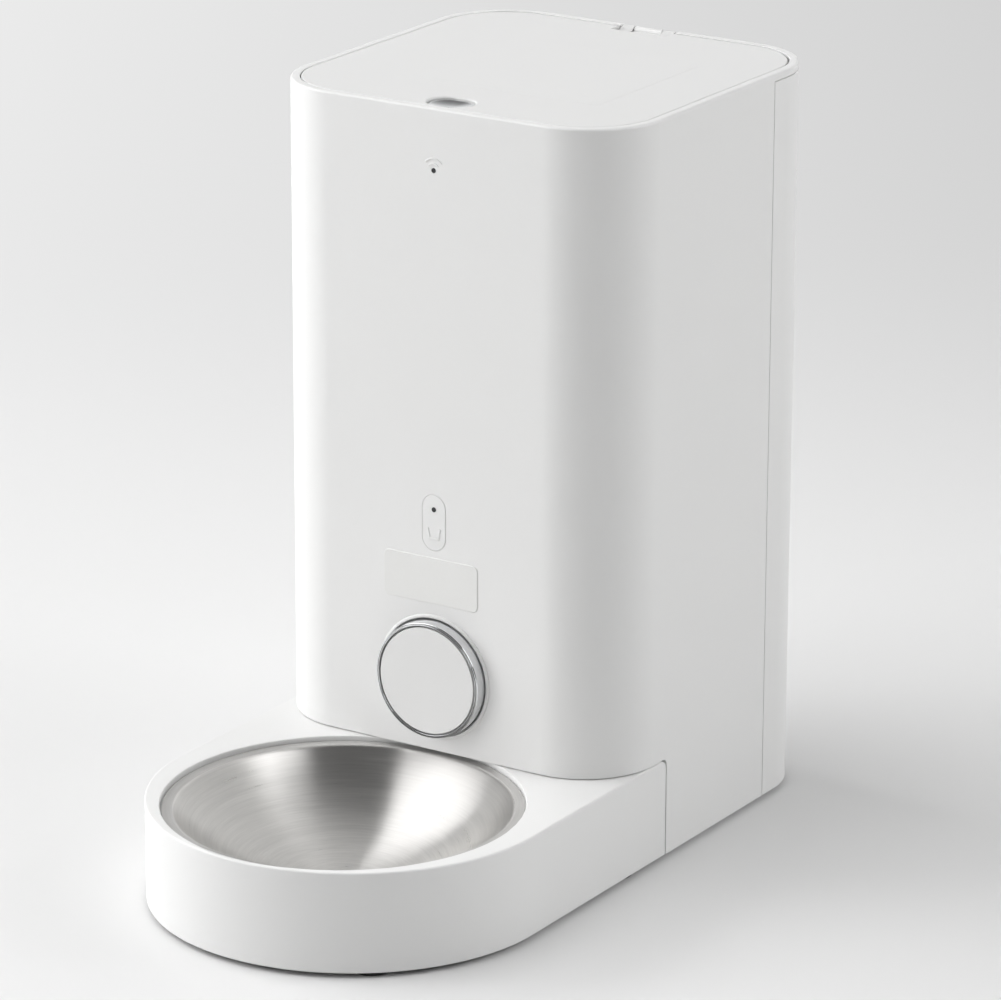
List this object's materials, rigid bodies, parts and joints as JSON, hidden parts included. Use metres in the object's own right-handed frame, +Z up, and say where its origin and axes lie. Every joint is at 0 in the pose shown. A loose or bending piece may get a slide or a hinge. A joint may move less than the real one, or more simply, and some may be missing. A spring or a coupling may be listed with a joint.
{
  "type": "automatic pet feeder",
  "caption": "Tall rounded-square pet feeder with a hinged lid, metering impeller, sliding round food outlet and a steel bowl in a pull-forward tray.",
  "frame": {"origin": "on the floor under the middle of the feeder's box", "axes": "+Z up, -Y towards the bowl and the outlet's front, +Y towards the back, +X to the feeder's left as it faces the pet"},
  "size_m": [0.167, 0.3056, 0.311],
  "materials": {
    "shell_white": "satin moulded plastic",
    "inner_ivory": "satin moulded plastic",
    "frame_grey": "fine matte moulded plastic",
    "dark_plastic": "matte moulded plastic",
    "lens_dark": "polished",
    "gear_plastic": "smooth moulded plastic",
    "bowl_steel": "turned, fine rings",
    "trim_chrome": "polished plating",
    "motor_steel": "satin zinc",
    "screw_steel": "zinc plated",
    "pin_steel": "ground",
    "contact_brass": "stamped",
    "cell_wrap": "printed sleeve, bare",
    "board_green": "solder mask",
    "foot_rubber": "matte",
    "soft_seal": "matte silicone",
    "pack_cloth": "non-woven"
  },
  "bodies": {
    "housing": {"front_shell": "shell_white", "rear_cover": "shell_white", "base_frame": "frame_grey", "food_bin": "inner_ivory", "metering_base": "inner_ivory", "drop_shield": "inner_ivory", "chute": "inner_ivory", "outlet_bezel": "shell_white", "gear_motor": "motor_steel", "motor_bracket": "frame_grey", "door_motor": "motor_steel", "control_board": "board_green", "board_parts": "dark_plastic", "status_light": "lens_dark", "status_board": "board_green", "food_sensors": "dark_plastic", "battery_cells": "cell_wrap", "battery_contacts": "contact_brass", "power_board": "board_green", "power_inlet": "dark_plastic", "housing_feet": "foot_rubber", "hinge_block": "shell_white", "hinge_pin": "pin_steel", "shaft_bush": "contact_brass", "meter_screws": "screw_steel", "cover_screws": "screw_steel", "board_screws": "screw_steel", "hinge_screws": "screw_steel"},
    "lid": {"lid_cover": "shell_white", "lid_liner": "shell_white", "lid_gasket": "soft_seal", "button_springs": "pin_steel"},
    "lid_button": {"lid_button": "trim_chrome"},
    "lid_latch": {"lid_latch": "gear_plastic"},
    "desiccant": {"desiccant_cup": "shell_white", "desiccant_pack": "pack_cloth"},
    "feed_button": {"feed_button": "shell_white", "feed_light": "lens_dark"},
    "impeller": {"impeller": "gear_plastic", "impeller_wipers": "soft_seal", "agitator": "gear_plastic", "impeller_shaft": "pin_steel", "drive_gear": "gear_plastic", "shaft_clip": "pin_steel"},
    "motor_pinion": {"motor_pinion": "contact_brass"},
    "outlet": {"outlet_tube": "shell_white", "outlet_ring": "trim_chrome", "outlet_cap": "shell_white", "outlet_rack": "gear_plastic"},
    "door_pinion": {"door_pinion": "contact_brass"},
    "tray": {"bowl_tray": "shell_white", "tray_base": "dark_plastic", "tray_feet": "foot_rubber", "tray_screws": "screw_steel"},
    "bowl": {"bowl": "bowl_steel"},
    "battery_door": {"battery_door": "frame_grey"}
  },
  "joints": [
    {"name": "lid_hinge", "type": "hinge", "parent": "housing", "child": "lid", "pos_m": [0, 0.15035, 0.3092], "axis": [-1, 0, 0], "range_deg": [0, 95]},
    {"name": "lid_button_press", "type": "slide", "parent": "lid", "child": "lid_button", "axis": [0, 0, -1], "range_m": [0, 0.0015], "stiffness_N_per_m": 800, "springref_m": -0.001, "deforming": ["button_springs"]},
    {"name": "lid_latch_slide", "type": "slide", "parent": "lid", "child": "lid_latch", "axis": [0, 1, 0], "range_m": [0, 0.0015]},
    {"name": "desiccant_twist", "type": "hinge", "parent": "lid", "child": "desiccant", "pos_m": [0, 0.075, 0.29], "axis": [0, 0, 1], "range_deg": [0, 40]},
    {"name": "feed_button_press", "type": "slide", "parent": "housing", "child": "feed_button", "axis": [0, 1, 0], "range_m": [0, 0.0008], "stiffness_N_per_m": 1500, "springref_m": -0.0005},
    {"name": "impeller_spin", "type": "hinge", "parent": "housing", "child": "impeller", "pos_m": [0, 0.07025, 0.14], "axis": [0, 0, 1], "continuous": true},
    {"name": "motor_pinion_spin", "type": "hinge", "parent": "housing", "child": "motor_pinion", "pos_m": [0, 0.09125, 0.115], "axis": [0, 0, 1], "continuous": true},
    {"name": "outlet_slide", "type": "slide", "parent": "housing", "child": "outlet", "axis": [0, -1, 0], "range_m": [0, 0.022]},
    {"name": "door_pinion_spin", "type": "hinge", "parent": "housing", "child": "door_pinion", "pos_m": [0.03545, 0.02345, 0.0754], "axis": [0, 0, 1], "range_deg": [0, 212]},
    {"name": "tray_slide", "type": "slide", "parent": "housing", "child": "tray", "axis": [0, -1, 0], "range_m": [0, 0.06]},
    {"name": "bowl_tilt", "type": "hinge", "parent": "tray", "child": "bowl", "pos_m": [0, -0.00585, 0.0407], "axis": [-1, 0, 0], "range_deg": [0, 12]},
    {"name": "battery_door_drop", "type": "slide", "parent": "housing", "child": "battery_door", "axis": [0, 0, -1], "range_m": [0, 0.03]}
  ],
  "couplings": [
    {"joint": "lid_latch_slide", "follows": "lid_button_press", "ratio": 1},
    {"joint": "motor_pinion_spin", "follows": "impeller_spin", "ratio": -2.5},
    {"joint": "door_pinion_spin", "follows": "outlet_slide", "rad_per_m": 166.67}
  ]
}
